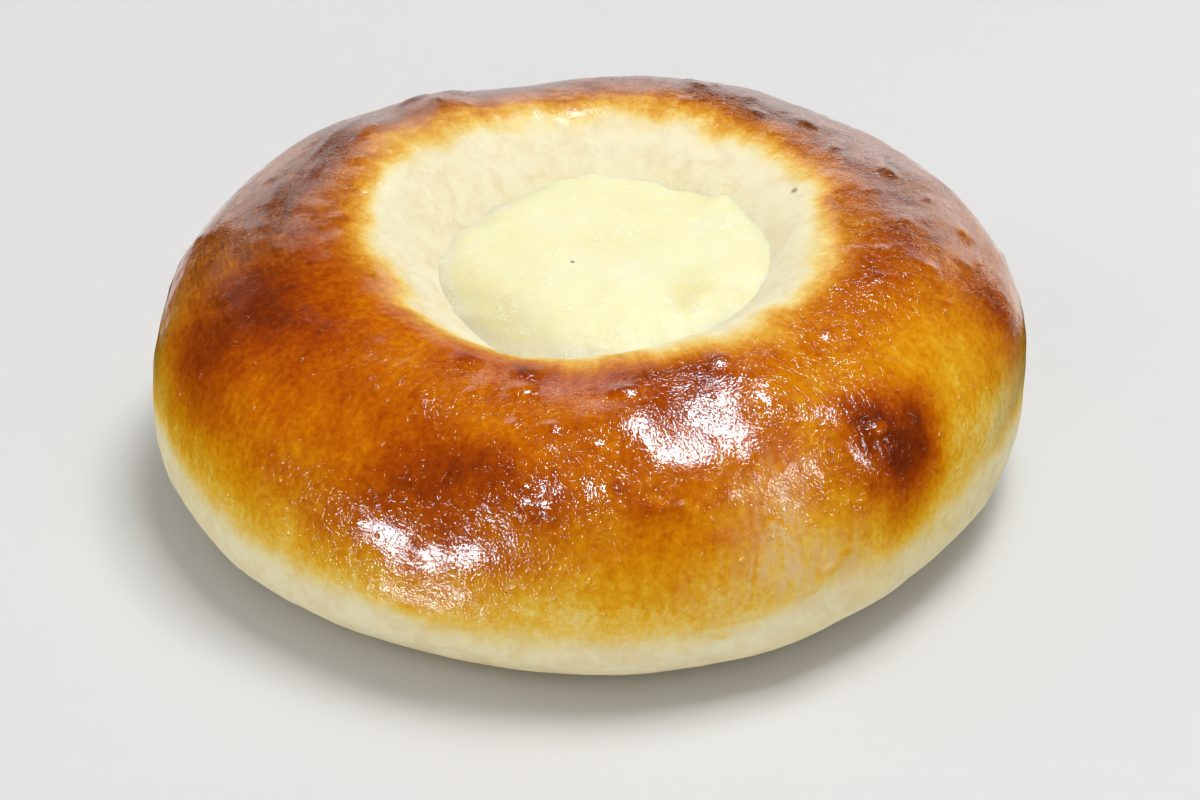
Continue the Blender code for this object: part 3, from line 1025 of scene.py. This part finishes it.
# The same, and the turn about the line to the bun and the colour
MIRRORED_BOXES = (
    ("overhead_strip", 20, 74.8, 0.9, 0.65, 0.18, 16.5, 14, COOL),
    ("left_box", -130, -3, 1.0, 0.70, 0.22, 15.5, -14, COOL),
    ("lowest_box", -131, -31, 1.0, 0.50, 0.08, 4.4, 0, COOL),
    ("centre_box", -103, 45, 1.0, 0.14, 0.26, 7.5, 0, COOL),
    ("right_box", -23, 16, 1.0, 0.08, 0.60, 4.4, 28, COOL),
    ("left_backdrop", 106, 14, 2.0, 1.16, 1.05, 6.0, 0, WHITE),
    ("left_upper", 103, 37, 2.0, 0.60, 0.35, 1.5, 0, WHITE),
    ("left_far", 129, 25, 2.0, 0.75, 0.70, 0.5, 0, WHITE),
    ("right_backdrop", 69, 13, 2.0, 1.46, 1.0, 9.0, 0, WHITE),
    ("low_backdrop", 86, -14, 2.0, 2.6, 0.95, 7.0, 0, WHITE),
)

world = bpy.data.worlds.new("studio")
bpy.context.scene.world = world
world.use_nodes = True
sky = world.node_tree.nodes["Background"].inputs
sky["Color"].default_value = (1, 1, 1, 1)
sky["Strength"].default_value = SKY_STRENGTH
world.cycles_visibility.glossy = False


def soft_box(name, azimuth, elevation, distance, wide, high, watts, turn=0, colour=WHITE, mirrored=False):
    """An area light that looks at the bun from this direction. It lights the bun or is mirrored by it."""
    light = bpy.data.lights.new(name, "AREA")
    light.shape = "RECTANGLE"
    light.size, light.size_y = wide, high
    light.energy = watts
    light.color = colour
    box = bpy.data.objects.new(name, light)
    a, e = math.radians(azimuth), math.radians(elevation)
    way = Vector((math.cos(a) * math.cos(e), math.sin(a) * math.cos(e), math.sin(e)))
    box.location = LIT_MIDDLE + way * distance
    faced = way.to_track_quat("Z", "Y") @ Quaternion((0, 0, 1), math.radians(turn))
    box.rotation_euler = faced.to_euler()
    box.visible_glossy = mirrored
    box.visible_diffuse = box.visible_transmission = not mirrored
    bpy.context.scene.collection.objects.link(box)


for row in LIGHTING_BOXES:
    soft_box(*row)
for row in MIRRORED_BOXES:
    soft_box(*row, mirrored=True)

# The camera looks down at the bun with a long lens. Its axis passes the bun's middle by some
# pixels and its frame is turned a little, as fitted to the outline of the bun.
ELEVATION, DISTANCE, ROLL = math.radians(33.6), 450 * MM, math.radians(1.19)
PIXELS, FOCAL_PIXELS = 1200, 3051
LEFT_OF_CENTRE, BELOW_CENTRE = 7.4, 67.1
SENSOR_WIDTH = 36
camera = bpy.data.objects.new("camera", bpy.data.cameras.new("camera"))
bpy.context.scene.collection.objects.link(camera)
bpy.context.scene.camera = camera
back = Vector((0, -math.cos(ELEVATION), math.sin(ELEVATION)))
right, up = Vector((1, 0, 0)), Vector((0, math.sin(ELEVATION), math.cos(ELEVATION)))
aim = -back * FOCAL_PIXELS + right * LEFT_OF_CENTRE + up * BELOW_CENTRE
aim.normalize()
level = aim.cross(Vector((0, 0, 1))).normalized()
upright = level.cross(aim)
across = level * math.cos(ROLL) + upright * math.sin(ROLL)
over = upright * math.cos(ROLL) - level * math.sin(ROLL)
turned = Matrix((across, over, -aim)).transposed().to_4x4()
camera.matrix_world = Matrix.Translation(back * DISTANCE) @ turned
camera.data.sensor_width = SENSOR_WIDTH
camera.data.lens = SENSOR_WIDTH * FOCAL_PIXELS / PIXELS
camera.data.clip_start = 10 * MM
camera.data.clip_end = 20

bpy.context.scene.view_settings.view_transform = "Standard"
bpy.context.scene.view_settings.look = "None"
